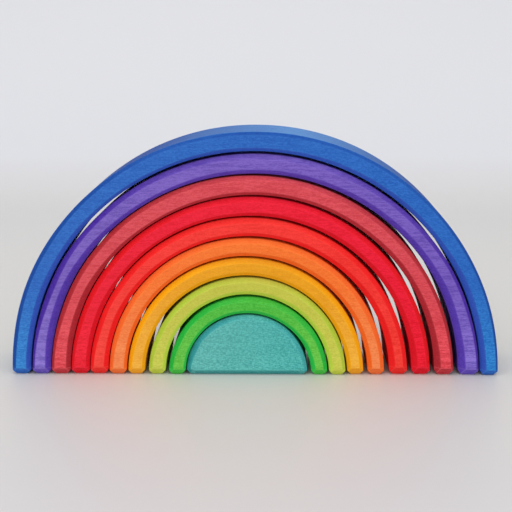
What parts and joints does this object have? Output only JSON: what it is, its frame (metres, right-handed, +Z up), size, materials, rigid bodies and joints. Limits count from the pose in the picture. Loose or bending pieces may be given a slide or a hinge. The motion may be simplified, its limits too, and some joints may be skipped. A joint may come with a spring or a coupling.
{
  "type": "rainbow stacker",
  "caption": "Nest of loose wooden half-ring arches over a solid half-disc core, stained from blue to teal, for stacking and building play.",
  "frame": {"origin": "on the table under the crown of the outermost arch, at mid-depth", "axes": "+X along the width of the nest to the right seen from the front, -Y towards the front face, +Z up"},
  "size_m": [0.3748, 0.07, 0.1875],
  "materials": {
    "blue_arch_stain": "matte water stain on sanded hardwood",
    "purple_arch_stain": "matte water stain on sanded hardwood",
    "raspberry_arch_stain": "matte water stain on sanded hardwood",
    "crimson_arch_stain": "matte water stain on sanded hardwood",
    "scarlet_arch_stain": "matte water stain on sanded hardwood",
    "orange_arch_stain": "matte water stain on sanded hardwood",
    "amber_arch_stain": "matte water stain on sanded hardwood",
    "lime_arch_stain": "matte water stain on sanded hardwood",
    "green_arch_stain": "matte water stain on sanded hardwood",
    "teal_core_stain": "matte water stain on sanded hardwood"
  },
  "bodies": {
    "core": {"teal_core": "teal_core_stain"},
    "blue": {"blue_arch": "blue_arch_stain"},
    "purple": {"purple_arch": "purple_arch_stain"},
    "raspberry": {"raspberry_arch": "raspberry_arch_stain"},
    "crimson": {"crimson_arch": "crimson_arch_stain"},
    "scarlet": {"scarlet_arch": "scarlet_arch_stain"},
    "orange": {"orange_arch": "orange_arch_stain"},
    "amber": {"amber_arch": "amber_arch_stain"},
    "lime": {"lime_arch": "lime_arch_stain"},
    "green": {"green_arch": "green_arch_stain"}
  },
  "joints": [
    {"name": "blue_slide", "type": "slide", "parent": "core", "child": "blue", "axis": [0, -1, 0], "range_m": [-0.08, 0.08]},
    {"name": "purple_slide", "type": "slide", "parent": "core", "child": "purple", "axis": [0, -1, 0], "range_m": [-0.08, 0.08]},
    {"name": "raspberry_slide", "type": "slide", "parent": "core", "child": "raspberry", "axis": [0, -1, 0], "range_m": [-0.08, 0.08]},
    {"name": "crimson_slide", "type": "slide", "parent": "core", "child": "crimson", "axis": [0, -1, 0], "range_m": [-0.08, 0.08]},
    {"name": "scarlet_slide", "type": "slide", "parent": "core", "child": "scarlet", "axis": [0, -1, 0], "range_m": [-0.08, 0.08]},
    {"name": "orange_slide", "type": "slide", "parent": "core", "child": "orange", "axis": [0, -1, 0], "range_m": [-0.08, 0.08]},
    {"name": "amber_slide", "type": "slide", "parent": "core", "child": "amber", "axis": [0, -1, 0], "range_m": [-0.08, 0.08]},
    {"name": "lime_slide", "type": "slide", "parent": "core", "child": "lime", "axis": [0, -1, 0], "range_m": [-0.08, 0.08]},
    {"name": "green_slide", "type": "slide", "parent": "core", "child": "green", "axis": [0, -1, 0], "range_m": [-0.08, 0.08]}
  ]
}
